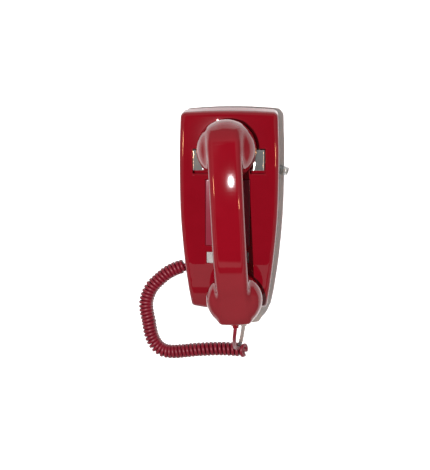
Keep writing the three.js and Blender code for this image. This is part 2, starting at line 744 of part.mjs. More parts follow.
function handsetShell() {

	const base = CAP.rimHeight + GAP;
	const receiver = turned( [
		[ 0, base ], [ RECEIVER_RADIUS - 0.6, base ], [ RECEIVER_RADIUS, base + 5 ], [ RECEIVER_RADIUS - 0.7, base + 11 ],
		[ RECEIVER_RADIUS - 3, base + 17.5 ], [ RECEIVER_RADIUS - 7, base + 23.5 ], [ RECEIVER_RADIUS - 14, base + 29 ],
		[ 8, base + 32 ], [ 0, base + 32.4 ],
	], 36 );
	const transmitter = turned( [
		[ 0, base ], [ TRANSMITTER_RADIUS - 0.6, base ], [ TRANSMITTER_RADIUS, base + 4 ],
		[ TRANSMITTER_RADIUS - 0.8, base + 9 ], [ TRANSMITTER_RADIUS - 4, base + 15 ],
		[ TRANSMITTER_RADIUS - 11, base + 19.5 ], [ 0, base + 21.5 ],
	], 36 );
	let body = handleBody( 0, 104, HANDLE_END );
	body = body.add( solid( toReceiver( receiver ) ) ).add( solid( toTransmitter( transmitter ) ) );

	// The handle's end is flat, and nothing of the shell reaches below the edge that the mouthpiece cap meets
	body = body.subtract( solid( box( - 40, 40, HANDLE_END - 20, HANDLE_END, - 20, 80 ) ) );
	for ( const side of [ - 1, 1 ] ) {

		const corner = box( 0, 20, - 20, 20, - 20, 80 ).rotateZ( THREE.MathUtils.degToRad( - 45 ) );
		corner.translate( HANDLE_HALF_WIDTH, HANDLE_END + HANDLE_END_CORNER, 0 );
		const cut = solid( corner );
		body = body.subtract( side === 1 ? cut : cut.mirror( [ 1, 0, 0 ] ) );

	}

	body = body.subtract( solid( toTransmitter( box( - 40, 40, - 60, 36, - 20, base ) ) ) );

	// Hollows: the two cups, and the passage between them through the handle
	const receiverHollow = turned( [ [ 0, 15 ], [ 27.9, 15 ], [ 27.9, 33 ], [ 15, 46 ], [ 0, 46 ] ], 36 );
	const transmitterHollow = turned( [ [ 0, 10 ], [ 27.2, 10 ], [ 27.2, 31 ], [ 15, 38 ], [ 0, 38 ] ], 36 );
	body = body.subtract( handleBody( HANDLE_WALL, 76, - 82 ) );
	body = body.subtract( solid( toReceiver( receiverHollow ) ) );
	body = body.subtract( solid( toTransmitter( transmitterHollow ) ) );
	const cordHole = rod( 3.5, HANDLE_END - 5, HANDLE_END + 30, 16 ).rotateX( - Math.PI / 2 )
		.translate( 0, 0, CORD_EXIT_HEIGHT );
	return body.subtract( solid( cordHole ) );

}

/** A screw-on cap, in its cup's frame, with rings of sound holes. */
function cap( rimRadius, skirtRadius, holeRings ) {

	const { front, waist, waistHeight, rimHeight, skirtTop, skirtInner } = CAP;
	const profile = [
		[ 0, 1.4 ], [ front - 4, 0.6 ], [ front, 0 ], [ front + 0.9, 1 ], [ waist, waistHeight ],
		[ rimRadius, rimHeight - 2 ], [ rimRadius + 0.2, rimHeight ], [ skirtRadius, rimHeight ],
		[ skirtRadius, skirtTop ], [ skirtInner, skirtTop ], [ skirtInner, rimHeight - 1 ], [ 23.2, waistHeight ],
		[ 22.4, 3.6 ], [ 0, 3.9 ],
	];
	let body = solid( turned( profile, 36 ) );
	for ( const [ count, distance ] of holeRings ) {

		for ( let i = 0; i < count; i ++ ) {

			const turn = i / count * 2 * Math.PI;
			const hole = rod( 1.3, - 1, 6, 6 ).translate( distance * Math.cos( turn ), distance * Math.sin( turn ), 0 );
			body = body.subtract( solid( hole ) );

		}

	}

	return body;

}

function disc( radius, z0, z1, lip ) {

	return solid( turned( [
		[ 0, z0 + 0.6 ], [ radius - 5, z0 + 0.6 ], [ radius - 4, z0 ], [ radius, z0 ], [ radius, z1 - 3 ],
		[ radius - lip, z1 - 2 ], [ radius - lip, z1 ], [ 0, z1 ],
	], 32 ) );

}

function lineGrommet() {

	const { y, z, radius } = LINE_GROMMET;
	const profile = [ [ 0, - 4 ], [ radius, - 4 ], [ radius, GAP ], [ radius + 0.6, GAP ], [ radius, 4 ], [ 0, 4 ] ];
	return solid( turned( profile, 16 ).rotateY( Math.PI / 2 ).translate( POCKET.x0, y, z ) );

}

/** The moulded cup that carries the transmitter's two contacts. */
function transmitterCup() {

	return solid( turned( [ [ 0, 18 ], [ 22, 18 ], [ 24.4, 20.4 ], [ 24.4, 26 ], [ 22.6, 26 ], [ 21, 21.5 ], [ 0, 21.5 ] ], 24 ) );

}

function handsetGrommet() {

	const y = HANDLE_END;
	const shape = turned( [ [ 0, - 7 ], [ 3.1, - 7 ], [ 3.1, GAP ], [ 5.3, GAP ], [ 4.2, 2.2 ], [ 0, 2.2 ] ], 20 )
		.rotateX( Math.PI / 2 ).translate( 0, y, CORD_EXIT_HEIGHT );
	return solid( shape );

}

// ---------------------------------------------------------------- assembly

const phone = new THREE.Group();

function addPiece( parent, name, geometry, finish ) {

	const mesh = new THREE.Mesh( geometry, new THREE.MeshStandardMaterial( finishes[ finish ] ) );
	mesh.name = name;
	parent.add( mesh );
	return mesh;

}

function addBody( parent, name, body, finish ) {

	return addPiece( parent, name, geometryOf( body ), finish );

}

addBody( phone, 'housing', housing(), 'redPlastic' );
addBody( phone, 'base_plate', basePlate(), 'steel' );
addBody( phone, 'housing_screw', housingScrew(), 'steel' );

const panelTop = FACE_Z + PANEL.proud;
const panel = box( PANEL_X - PANEL.halfWidth, PANEL_X + PANEL.halfWidth, PANEL.yBottom, PANEL.yTop,
	panelTop - PANEL.thickness, panelTop );
addPiece( phone, 'dial_blank_panel', panel, 'redPlastic' );
const [ cardLeft, cardRight ] = [ PANEL_X - CARD.halfWidth, PANEL_X + CARD.halfWidth ];
const windowTop = FACE_Z;
const windowBottom = windowTop - CARD.window;
const cardTop = windowBottom - GAP;
addPiece( phone, 'card_window',
	box( cardLeft, cardRight, CARD.yBottom, CARD.yTop, windowBottom, windowTop ), 'clearPlastic' );
addPiece( phone, 'number_card',
	box( cardLeft, cardRight, CARD.yBottom, CARD.yTop, cardTop - CARD.thickness, cardTop ), 'paper' );

addBody( phone, 'switchhook_cradle', cradle(), 'chrome' );
addBody( phone, 'hook_pivot_bracket', pivotBracket(), 'steel' );
const pin = rod( HOOK_PIVOT.pinRadius, - 44.6, 44.6, 16 ).rotateY( Math.PI / 2 )
	.translate( 0, HOOK_PIVOT.y, HOOK_PIVOT.z );
addPiece( phone, 'hook_pivot_pin', pin, 'steel' );
addBody( phone, 'hook_return_spring', returnSpring(), 'springSteel' );
for ( const [ name, x ] of [ [ 'pin_clip_left', - 43.4 ], [ 'pin_clip_right', 43.4 ] ] ) {

	const clip = turned( ringProfile( 2.3, 4, - 0.4, 0.4 ), 16 ).rotateY( Math.PI / 2 )
		.translate( x, HOOK_PIVOT.y, HOOK_PIVOT.z );
	addPiece( phone, name, clip, 'springSteel' );

}

addBody( phone, 'contact_pile', contactPile(), 'blackPlastic' );
addBody( phone, 'contact_leaf', contactLeaf(), 'nickelSilver' );

addPiece( phone, 'network_block',
	box( NETWORK.x0, NETWORK.x1, NETWORK.y0, NETWORK.y1, NETWORK.z0, NETWORK.z1 ), 'greyPlastic' );
for ( let i = 0; i < TERMINALS.count; i ++ ) {

	const x = NETWORK.x0 + TERMINALS.margin + i * TERMINALS.spacing;
	addBody( phone, `terminal_screw_${ i + 1 }`,
		roundHeadScrew( x, NETWORK.y0 + 6, NETWORK.z1 + GAP, NETWORK.z1 + 3.2, 1.6 ), 'gongBrass' );

}

addBody( phone, 'ringer_frame', ringerFrame(), 'steel' );
addBody( phone, 'ringer_coil', ringerCoil(), 'copperWinding' );
addBody( phone, 'clapper', clapper(), 'steel' );
addPiece( phone, 'bias_spring', box( 13.2, 13.9, - 32, - 10, 5, 9 ), 'springSteel' );
for ( const [ side, x ] of [ [ 'left', - GONG.x ], [ 'right', GONG.x ] ] ) {

	addBody( phone, `gong_${ side }`, gong( x ), 'gongBrass' );
	addBody( phone, `gong_post_${ side }`, gongPost( x ), 'steel' );

}

addBody( phone, 'loudness_wheel', loudnessWheel(), 'greyPlastic' );
addPiece( phone, 'loudness_wheel_pin',
	rod( 2, PLATE + GAP, WHEEL.z1 + 1.5, 16 ).translate( WHEEL.x, WHEEL.y, 0 ), 'steel' );

addBody( phone, 'handset_jack', handsetJack(), 'blackPlastic' );
addBody( phone, 'handset_cord_plug', modularPlug( HANDSET_PLUG.x0, HANDSET_PLUG.x1, JACK.y,
	HANDSET_PLUG.halfWidth, HANDSET_PLUG.z0, HANDSET_PLUG.z1 ), 'clearPlastic' );
addPiece( phone, 'jack_lead', cordTube( JACK_LEAD_ROUTE, WIRE_RADIUS, 8, 3 ), 'cordRed' );
addBody( phone, 'handset_cord_coil', cordCoil(), 'cordRed' );
addBody( phone, 'line_grommet', lineGrommet(), 'blackPlastic' );
addPiece( phone, 'line_cord', cordTube( LINE_CORD_ROUTE, WIRE_RADIUS, 8, 26 ), 'greyPlastic' );
addBody( phone, 'line_plug', linePlug(), 'clearPlastic' );
addPiece( phone, 'handset_lead', cordTube( HANDSET_LEAD_ROUTE, WIRE_RADIUS, 8, 20 ), 'cordRed' );

// The handset hangs turned a little, so its pieces share one turned group
const handset = new THREE.Group();
handset.position.set( HANDSET.x, HANDSET.y, HANDSET.z + HANDSET.rollHeight );
handset.rotation.order = 'ZYX';
handset.rotation.set( 0, THREE.MathUtils.degToRad( HANDSET.roll ), THREE.MathUtils.degToRad( HANDSET.yaw ) );
phone.add( handset );
const handsetBody = new THREE.Group();
handsetBody.position.z = - HANDSET.rollHeight;
handset.add( handsetBody );

const receiverGroup = new THREE.Group();
receiverGroup.position.set( 0, CUP_SPACING / 2, 0 );
const transmitterGroup = new THREE.Group();
transmitterGroup.position.set( 0, - CUP_SPACING / 2, TRANSMITTER_DROP );
transmitterGroup.rotation.x = THREE.MathUtils.degToRad( TRANSMITTER_TILT );
handsetBody.add( receiverGroup, transmitterGroup );

addBody( handsetBody, 'handset_shell', handsetShell(), 'redPlastic' );
addBody( handsetBody, 'handset_grommet', handsetGrommet(), 'redPlastic' );
const receiverHoles = [ [ 1, 0 ], [ 6, 6 ] ];
const transmitterHoles = [ [ 1, 0 ], [ 6, 6 ], [ 12, 12 ] ];
addBody( receiverGroup, 'receiver_cap', cap( RECEIVER_RADIUS - 1.2, 27.6, receiverHoles ), 'redPlastic' );
addBody( receiverGroup, 'receiver_unit', disc( 21.6, 4.4, 15, 6 ), 'greyPlastic' );
addBody( transmitterGroup, 'transmitter_cap', cap( TRANSMITTER_RADIUS - 1.2, 26.9, transmitterHoles ), 'redPlastic' );
addBody( transmitterGroup, 'transmitter_unit', disc( 21.6, 4.4, 14, 8 ), 'greyPlastic' );
addBody( transmitterGroup, 'transmitter_cup', transmitterCup(), 'blackPlastic' );

export default phone;
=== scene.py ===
"""A slim red wall telephone without a dial, lying on its back on a white floor, with its curly handset cord.

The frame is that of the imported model, in metres: +X is the telephone's right, +Y its top and +Z points out of
the wall, and the origin is the middle of the face that goes against the wall. Shapes are worked out in
millimetres and scaled as they are made into meshes.
"""

import json
import math

import bpy
import numpy as np
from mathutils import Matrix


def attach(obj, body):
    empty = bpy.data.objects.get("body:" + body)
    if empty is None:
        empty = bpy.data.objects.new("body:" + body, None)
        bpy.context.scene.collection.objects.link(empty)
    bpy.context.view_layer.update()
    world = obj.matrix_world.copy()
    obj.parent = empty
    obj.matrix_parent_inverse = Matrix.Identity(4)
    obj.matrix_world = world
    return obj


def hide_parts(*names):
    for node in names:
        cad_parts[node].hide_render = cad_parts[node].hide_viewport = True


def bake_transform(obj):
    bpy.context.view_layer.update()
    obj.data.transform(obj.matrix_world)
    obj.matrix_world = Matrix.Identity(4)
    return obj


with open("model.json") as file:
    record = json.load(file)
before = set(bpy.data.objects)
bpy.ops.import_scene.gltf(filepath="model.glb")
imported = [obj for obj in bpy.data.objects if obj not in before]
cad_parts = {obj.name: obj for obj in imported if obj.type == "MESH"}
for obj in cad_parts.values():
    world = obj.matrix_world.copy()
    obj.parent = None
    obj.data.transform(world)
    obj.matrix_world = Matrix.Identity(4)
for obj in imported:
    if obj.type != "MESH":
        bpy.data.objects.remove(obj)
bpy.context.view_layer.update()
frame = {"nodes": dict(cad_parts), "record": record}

import openvdb
from mathutils import Matrix, Vector

MM = 0.001
GAP = 0.3  # between pieces that touch


# ---------------------------------------------------------------- camera

CAMERA_PLACE = Vector((0.0452, 0.1009, 0.9344))
CAMERA_TARGET = Vector((-0.0184, -0.0339, 0.0))
CAMERA_SENSOR = 36.0
CAMERA_LENS = 62.63


def make_camera():
    """The camera looks down at the telephone from above its upper right part."""
    data = bpy.data.cameras.new("camera")
    data.sensor_width = CAMERA_SENSOR
    data.lens = CAMERA_LENS
    data.clip_start, data.clip_end = 0.05, 20.0
    camera = bpy.data.objects.new("camera", data)
    bpy.context.collection.objects.link(camera)
    forward = (CAMERA_TARGET - CAMERA_PLACE).normalized()
    right = forward.cross(Vector((0, 1, 0))).normalized()
    up = right.cross(forward)
    turn = Matrix((right, up, -forward)).transposed()
    camera.matrix_world = Matrix.Translation(CAMERA_PLACE) @ turn.to_4x4()
    bpy.context.scene.camera = camera


# ---------------------------------------------------------------- lines and tubes

def smooth_line(points, per_span=10):
    """Points along a smooth curve through the given ones."""
    given = np.array(points, dtype=float)
    ends = np.vstack([2 * given[0] - given[1], given, 2 * given[-1] - given[-2]])
    t = np.linspace(0, 1, per_span, endpoint=False)[:, None]
    spans = []
    for a, b, c, d in zip(ends[:-3], ends[1:-2], ends[2:-1], ends[3:]):
        spans.append(0.5 * (2 * b + (c - a) * t + (2 * a - 5 * b + 4 * c - d) * t**2
                            + (3 * b - a - 3 * c + d) * t**3))
    return np.vstack(spans + [given[-1:]])


def even_line(points, spacing):
    """The same line with points at even distances."""
    steps = np.linalg.norm(np.diff(points, axis=0), axis=1)
    along = np.concatenate([[0], np.cumsum(steps)])
    count = max(2, round(along[-1] / spacing) + 1)
    wanted = np.linspace(0, along[-1], count)
    return np.stack([np.interp(wanted, along, points[:, i]) for i in range(3)], axis=1)


def directions(points):
    """The unit direction of a line at each of its points."""
    ahead = np.gradient(points, axis=0)
    return ahead / np.linalg.norm(ahead, axis=1, keepdims=True)


def mesh_object(name, points, faces, normals=None):
    """A smooth-shaded mesh from points in millimetres."""
    mesh = bpy.data.meshes.new(name)
    mesh.from_pydata((np.asarray(points) * MM).tolist(), [], faces)
    mesh.shade_smooth()
    if normals is not None:
        mesh.normals_split_custom_set_from_vertices(normals.tolist())
    obj = bpy.data.objects.new(name, mesh)
    bpy.context.collection.objects.link(obj)
    return obj


def tube(name, line, radius, sides=12):
    """A round, closed tube along a line of points."""
    ahead = directions(line)
    side = np.cross(ahead[0], (0.0, 0.0, 1.0))
    side /= np.linalg.norm(side)
    turns = np.linspace(0, 2 * math.pi, sides, endpoint=False)
    points = []
    for place, forward in zip(line, ahead):
        side = side - forward * np.dot(side, forward)
        side /= np.linalg.norm(side)
        up = np.cross(side, forward)
        points += [place + radius * (math.cos(t) * side + math.sin(t) * up) for t in turns]
    faces = []
    for ring in range(len(line) - 1):
        for i in range(sides):
            a, b = ring * sides + i, ring * sides + (i + 1) % sides
            faces.append((a, b, b + sides, a + sides))
    last = (len(line) - 1) * sides
    faces.append(tuple(range(sides))[::-1])
    faces.append(tuple(range(last, last + sides)))
    return mesh_object(name, points, faces)


# ---------------------------------------------------------------- solid shapes as distances
# Each shape is a function of x, y and z that gives the distance to its surface, negative inside it.

def overlap(a, b, radius=0.5):
    """What two shapes share, with the edge between them rounded."""
    corner = np.hypot(np.maximum(a + radius, 0), np.maximum(b + radius, 0))
    return np.minimum(np.maximum(a, b), -radius) + corner


def without(a, b, radius=0.5):
    """The first shape with the second cut out of it."""
    return overlap(a, -b, radius)


def joined(a, b, fillet):
    """Both shapes as one, with a fillet between them."""
    share = np.clip(0.5 + 0.5 * (b - a) / fillet, 0, 1)
    return b + (a - b) * share - fillet * share * (1 - share)


def box(x, y, z, low, high, radius=0.5):
    """A box with rounded edges."""
    beyond = [abs(v - (a + b) / 2) - (b - a) / 2 + radius for v, a, b in zip((x, y, z), low, high)]
    outside = np.sqrt(sum(np.maximum(v, 0) ** 2 for v in beyond))
    return outside + np.minimum(np.maximum(np.maximum(beyond[0], beyond[1]), beyond[2]), 0) - radius


def rod(across, along, radius, low, high, edge=0.4):
    """A round rod: across is the distance from its axis and along the place on it."""
    return overlap(across - radius, abs(along - (low + high) / 2) - (high - low) / 2, edge)


def outline(corners, u, v):
    """A flat outline with straight sides, in the plane of u and v."""
    nearest = np.inf
    inside = np.zeros(np.broadcast(u, v).shape, dtype=bool)
    for (u0, v0), (u1, v1) in zip(corners, np.roll(corners, -1, axis=0)):
        along_u, along_v = u1 - u0, v1 - v0
        if along_u == 0 and along_v == 0:
            continue
        share = np.clip(((u - u0) * along_u + (v - v0) * along_v) / (along_u**2 + along_v**2), 0, 1)
        nearest = np.minimum(nearest, (u - u0 - share * along_u) ** 2 + (v - v0 - share * along_v) ** 2)
        if along_v != 0:
            inside ^= ((v0 > v) != (v1 > v)) & (u < along_u * (v - v0) / along_v + u0)
    return np.where(inside, -1.0, 1.0) * np.sqrt(nearest)


def slopes(shape, points, reach=0.05):
    """How the distance changes along x, y and z at each point."""
    columns = []
    for axis in range(3):
        step = np.zeros(3)
        step[axis] = reach
        columns.append((shape(*(points + step).T) - shape(*(points - step).T)) / (2 * reach))
    return np.stack(columns, axis=1)


def solid(name, shape, low, high, step, simplify=0.0):
    """A closed mesh of a shape, sampled in a box and then settled on the exact surface."""
    axes = [np.arange(a - 2 * step, b + 2 * step, step) for a, b in zip(low, high)]
    sampled = shape(*np.meshgrid(*axes, indexing="ij", sparse=True))
    grid = openvdb.FloatGrid(2 * step)
    grid.copyFromArray(np.ascontiguousarray(np.clip(sampled, -2 * step, 2 * step), dtype=np.float32))
    points, triangles, quads = grid.convertToPolygons(isovalue=0.0, adaptivity=simplify)
    points = np.asarray(points, dtype=float) * step + [axis[0] for axis in axes]
    slope = slopes(shape, points)
    length = np.maximum(np.linalg.norm(slope, axis=1), 0.2)
    shift = np.clip(shape(*points.T) / length, -step / 2, step / 2)
    points -= slope / length[:, None] * shift[:, None]
    normals = slopes(shape, points, reach=step / 4)
    normals /= np.maximum(np.linalg.norm(normals, axis=1, keepdims=True), 1e-6)
    faces = np.asarray(quads).tolist() + np.asarray(triangles).tolist()
    return mesh_object(name, points, faces, normals)


# ---------------------------------------------------------------- materials

def new_material(name, colour, metallic=0.0, roughness=0.4, transmission=0.0, ior=1.5):
    """A plain material, and its tree for adding detail."""
    material = bpy.data.materials.new(name)
    material.use_nodes = True
    shader = material.node_tree.nodes["Principled BSDF"]
    shader.inputs["Base Color"].default_value = (*colour, 1)
    shader.inputs["Metallic"].default_value = metallic
    shader.inputs["Roughness"].default_value = roughness
    shader.inputs["Transmission Weight"].default_value = transmission
    shader.inputs["IOR"].default_value = ior
    return material


def noise(material, scale, detail=3.0, stretch=(1, 1, 1)):
    """The value of a noise in the piece's own coordinates."""
    nodes, links = material.node_tree.nodes, material.node_tree.links
    place = nodes.new("ShaderNodeTexCoord")
    mapping = nodes.new("ShaderNodeMapping")
    mapping.inputs["Scale"].default_value = stretch
    texture = nodes.new("ShaderNodeTexNoise")
    texture.inputs["Scale"].default_value = scale
    texture.inputs["Detail"].default_value = detail
    links.new(place.outputs["Object"], mapping.inputs["Vector"])
    links.new(mapping.outputs["Vector"], texture.inputs["Vector"])
    return texture.outputs["Fac"]


def ranged(material, value, low, high, start=0.3, end=0.7):
    """A value between start and end spread over low to high."""
    node = material.node_tree.nodes.new("ShaderNodeMapRange")
    node.inputs["From Min"].default_value = start
    node.inputs["From Max"].default_value = end
    node.inputs["To Min"].default_value = low
    node.inputs["To Max"].default_value = high
    material.node_tree.links.new(value, node.inputs["Value"])
    return node.outputs["Result"]


def mix_colours(material, value, first, second):
    """A colour that goes from first to second with a value."""
    node = material.node_tree.nodes.new("ShaderNodeMix")
    node.data_type = "RGBA"
    node.inputs[6].default_value = (*first, 1)
    node.inputs[7].default_value = (*second, 1)
    material.node_tree.links.new(value, node.inputs[0])
    return node.outputs[2]


def feed(material, socket, value):
    """Connects a value to one of the shader's sockets."""
    shader = material.node_tree.nodes["Principled BSDF"]
    material.node_tree.links.new(value, shader.inputs[socket])


def add_bump(material, value, height):
    """Raises the surface by a height in metres where the value is high."""
    bump = material.node_tree.nodes.new("ShaderNodeBump")
    bump.inputs["Distance"].default_value = height
    bump.inputs["Strength"].default_value = 1.0
    material.node_tree.links.new(value, bump.inputs["Height"])
    feed(material, "Normal", bump.outputs["Normal"])


def varied(material, first, second, scale, roughness, bump_scale, bump_height, stretch=(1, 1, 1)):
    """Gives a material slow changes of colour, an uneven gloss and a fine surface."""
    tint = ranged(material, noise(material, scale), 0, 1)
    feed(material, "Base Color", mix_colours(material, tint, first, second))
    gloss = noise(material, scale * 20, detail=6.0, stretch=stretch)
    feed(material, "Roughness", ranged(material, gloss, *roughness))
    add_bump(material, noise(material, bump_scale, stretch=stretch), bump_height)
    return material


def make_materials():
    """One material for each material slot of the record."""
    made = {}

    def add(slot, first, second, scale, gloss, bump_scale, bump_height, stretch=(1, 1, 1), **kind):
        made[slot] = varied(new_material(slot, first, **kind), first, second, scale, gloss,
                            bump_scale, bump_height, stretch)

    add("red_plastic", (0.118, 0.0010, 0.0045), (0.126, 0.0012, 0.0052), 60, (0.015, 0.03), 700, 0.0000008)
    add("red_plastic_worn", (0.118, 0.0010, 0.0045), (0.126, 0.0012, 0.0052), 60, (0.018, 0.026),
        1500, 0.000001)
    add("red_plastic_satin", (0.125, 0.010, 0.020), (0.135, 0.012, 0.023), 60, (0.08, 0.12), 900, 0.000004)
    add("chrome", (0.60, 0.59, 0.58), (0.66, 0.65, 0.64), 60, (0.05, 0.10), 500, 0.000003,
        stretch=(1, 8, 1), metallic=1.0)
    add("steel", (0.38, 0.38, 0.36), (0.48, 0.48, 0.46), 80, (0.32, 0.45), 900, 0.00002,
        stretch=(1, 12, 1), metallic=1.0)
    add("spring_steel", (0.42, 0.42, 0.40), (0.52, 0.52, 0.50), 120, (0.25, 0.35), 900, 0.00001,
        metallic=1.0)
    add("gong_brass", (0.45, 0.31, 0.10), (0.55, 0.39, 0.15), 60, (0.2, 0.32), 600, 0.00001, metallic=1.0)
    add("nickel_silver", (0.50, 0.47, 0.40), (0.58, 0.55, 0.47), 90, (0.25, 0.35), 700, 0.00001,
        metallic=1.0)
    add("winding", (0.17, 0.04, 0.015), (0.24, 0.06, 0.03), 200, (0.3, 0.5), 3000, 0.00008,
        stretch=(0.2, 6, 0.2))
    add("black_plastic", (0.018, 0.018, 0.018), (0.026, 0.025, 0.024), 80, (0.4, 0.55), 1200, 0.00002)
    add("grey_plastic", (0.14, 0.15, 0.15), (0.18, 0.19, 0.18), 60, (0.4, 0.55), 1200, 0.00002)
    add("clear_plastic", (0.72, 0.74, 0.73), (0.78, 0.79, 0.78), 60, (0.03, 0.10), 400, 0.000006,
        transmission=0.9, ior=1.55)
    add("paper", (0.56, 0.50, 0.49), (0.63, 0.56, 0.55), 150, (0.75, 0.9), 1800, 0.00004)
    add("red_cord", (0.105, 0.0022, 0.009), (0.125, 0.003, 0.011), 60, (0.38, 0.5), 900, 0.00001)
    made["red_cord"].node_tree.nodes["Principled BSDF"].inputs["Specular IOR Level"].default_value = 0.3
    add("grey_cord", (0.26, 0.26, 0.26), (0.32, 0.32, 0.31), 60, (0.35, 0.5), 900, 0.00002)
    add("contact_gold", (0.80, 0.55, 0.22), (0.86, 0.60, 0.26), 90, (0.15, 0.25), 900, 0.00001,
        metallic=1.0)
    return made


materials = make_materials()


def finish(obj, slot, body, *nodes, look=None):
    """Gives a piece its material, and sets which CAD body carries it and which CAD nodes it stands for."""
    obj.data.materials.clear()
    obj.data.materials.append(materials[look or slot])
    if nodes:
        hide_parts(*nodes)
    if body:
        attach(obj, body)
    return obj


# ---------------------------------------------------------------- cords

WIRE_RADIUS = 2.1
COIL_Z = 8.3
HELIX_RADIUS = 6.0  # of the wire's middle
COIL_TIGHT, COIL_LOOSE = 4.25, 4.85  # pitch beside the telephone, and along the bottom
POINTS_PER_TURN = 24
PLUG_EXIT = (-43.4, -66, 6.9)
COIL_ROUTE = [
    (-51.4, -68.6, COIL_Z), (-63, -72, COIL_Z), (-74, -77.8, COIL_Z), (-83, -85.3, COIL_Z),
    (-91, -93.3, COIL_Z), (-96, -102.5, COIL_Z), (-98.8, -113, COIL_Z), (-98.2, -124, COIL_Z),
    (-96, -134.8, COIL_Z), (-94.5, -145.5, COIL_Z), (-92, -155, COIL_Z), (-87, -164, COIL_Z),
    (-79, -170, COIL_Z), (-68, -171.6, COIL_Z), (-56, -170.6, COIL_Z), (-41, -168.8, COIL_Z),
    (-25, -167.6, COIL_Z), (-10, -167, COIL_Z), (4, -167.4, COIL_Z), (11.4, -168, COIL_Z),
]
RING_CENTRE = np.array([15.6, -168.6, 7.7])
RING_LEAN = 62  # degrees between the last turn and the floor
HANDSET_EXIT = (8.8, -123.2, 71.2)
LEAD_ROUTE = [
    (9.0, -163.6, 16.0), (7.2, -160.5, 26), (6.6, -156, 38), (6.7, -150, 51), (7.1, -143, 61.8),
    (7.5, -136, 68.4), (8.3, -128.5, 71), HANDSET_EXIT,
]


def coil_line():
    """The middle of the wire of the curly cord, from its plug to the handset."""
    spacing = COIL_TIGHT / POINTS_PER_TURN
    route = even_line(smooth_line(COIL_ROUTE), spacing)
    ahead = directions(route)
    side = np.cross(ahead, (0.0, 0.0, 1.0))
    side /= np.linalg.norm(side, axis=1, keepdims=True)
    up = np.cross(side, ahead)
    along = spacing * np.arange(len(route))
    pitch = np.interp(along, [140, 190], [COIL_TIGHT, COIL_LOOSE])
    turn = 2 * math.pi * np.cumsum(spacing / pitch)
    widen = np.clip(along / (1.2 * COIL_TIGHT), 0, 1)[:, None]
    radius = HELIX_RADIUS * widen * widen * (3 - 2 * widen)
    helix = route + radius * (np.cos(turn)[:, None] * up + np.sin(turn)[:, None] * side)

    # The last turn leans over, and the wire leaves from its upper left side
    lean = math.radians(RING_LEAN)
    across = np.array([math.cos(lean), 0.0, -math.sin(lean)])
    away = np.array([0.0, 1.0, 0.0])
    ring_turn = np.radians(np.linspace(-90, 195, 22))
    outward = np.cos(ring_turn)[:, None] * -across + np.sin(ring_turn)[:, None] * away
    ring = RING_CENTRE + HELIX_RADIUS * outward
    start = smooth_line([PLUG_EXIT, (-46, -66.3, 7.0), helix[0]], 8)[:-1]
    lead = smooth_line([ring[-1], *LEAD_ROUTE], 10)[1:]
    return start, helix, ring, lead


def make_handset_cord():
    """The curly cord in one piece. The end of the coil is bent over into the leaning turn."""
    start, helix, ring, lead = coil_line()
    keep = len(helix) - 6
    bridge = smooth_line([helix[keep - 8], helix[keep - 1], ring[0], ring[4]], 8)[8:17]
    line = np.vstack([start, helix[:keep - 1], bridge, ring[1:], lead])
    cord = tube("handset_cord", line, WIRE_RADIUS, 12)
    finish(cord, "red_cord", None, "jack_lead", "handset_cord_coil", "handset_lead")
    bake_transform(cord)
    return cord, line


# ---------------------------------------------------------------- modular plugs

CONTACT_COUNT = 4
CONTACT_SPREAD = 1.05
CONTACT_LENGTH = 4.6
PLUG_LATCH = 1.6  # half its width


def contact_places():
    """Where the blades of a plug lie across its width."""
    return [(i - (CONTACT_COUNT - 1) / 2) * CONTACT_SPREAD for i in range(CONTACT_COUNT)]


def plug_shape(length, half, height):
    """A clear plug along X with its latch on top. Its cord goes in at x = 0."""

    def shape(x, y, z):
        body = box(x, y, z, (0, -half, 0), (length, half, height - 0.9), 0.4)
        root = box(x, y, z, (length - 2.6, -PLUG_LATCH, height - 1.6), (length, PLUG_LATCH, height), 0.3)
        latch = box(x, y, z, (1, -PLUG_LATCH, height - 0.7), (length - 0.3, PLUG_LATCH, height), 0.2)
        body = joined(joined(body, root, 0.4), latch, 0.3)
        for place in contact_places():
            groove = box(x, y, z, (length - CONTACT_LENGTH - 0.4, place - 0.28, -1),
                         (length + 1, place + 0.28, 1.2), 0.1)
            body = without(body, groove, 0.1)
        return without(body, box(x, y, z, (-1, -2.35, 0.9), (5, 2.35, height - 2), 0.8), 0.3)

    return shape


def contact_blades(length):
    """The four blades of a plug, in its own frame."""

    def shape(x, y, z):
        blades = np.inf
        for place in contact_places():
            blade = box(x, y, z, (length - CONTACT_LENGTH, place - 0.16, 0.25),
                        (length - 0.4, place + 0.16, 0.95), 0.05)
            blades = np.minimum(blades, blade)
        return blades

    return shape


def make_plug(name, node, place, length, half, height):
    """A plug and its contacts, which are a piece of their own."""
    plug = solid(name, plug_shape(length, half, height), (0, -half, 0), (length, half, height), 0.3)
    plug.matrix_world = place
    finish(plug, "clear_plastic", "phone", node)
    contacts = solid(name + "_contacts", contact_blades(length), (length - 5, -2, 0), (length, 2, 1),
                     0.12)
    contacts.matrix_world = place
    finish(contacts, "nickel_silver", "phone", look="contact_gold")
    return plug


LINE_CORD_ROUTE = [
    (-27.6, 14, 4.6), (-18, 13.8, 3.8), (-6, 12.6, 2.8), (8, 11.8, 2.5), (20, 13.4, 2.5), (28, 19, 2.5),
    (31.5, 27.5, 2.6), (34, 36, 3), (38.2, 42.6, 3.8), (43, 45.6, 4.1), (47.6, 45.6, 4.2), (51.1, 44.5, 4.2),
]
LINE_PLUG_PLACE = (51.6, 44.4, 1.0)
LINE_PLUG_TURN = -20  # degrees
HANDSET_PLUG_PLACE = (-43, -66, 3.7)


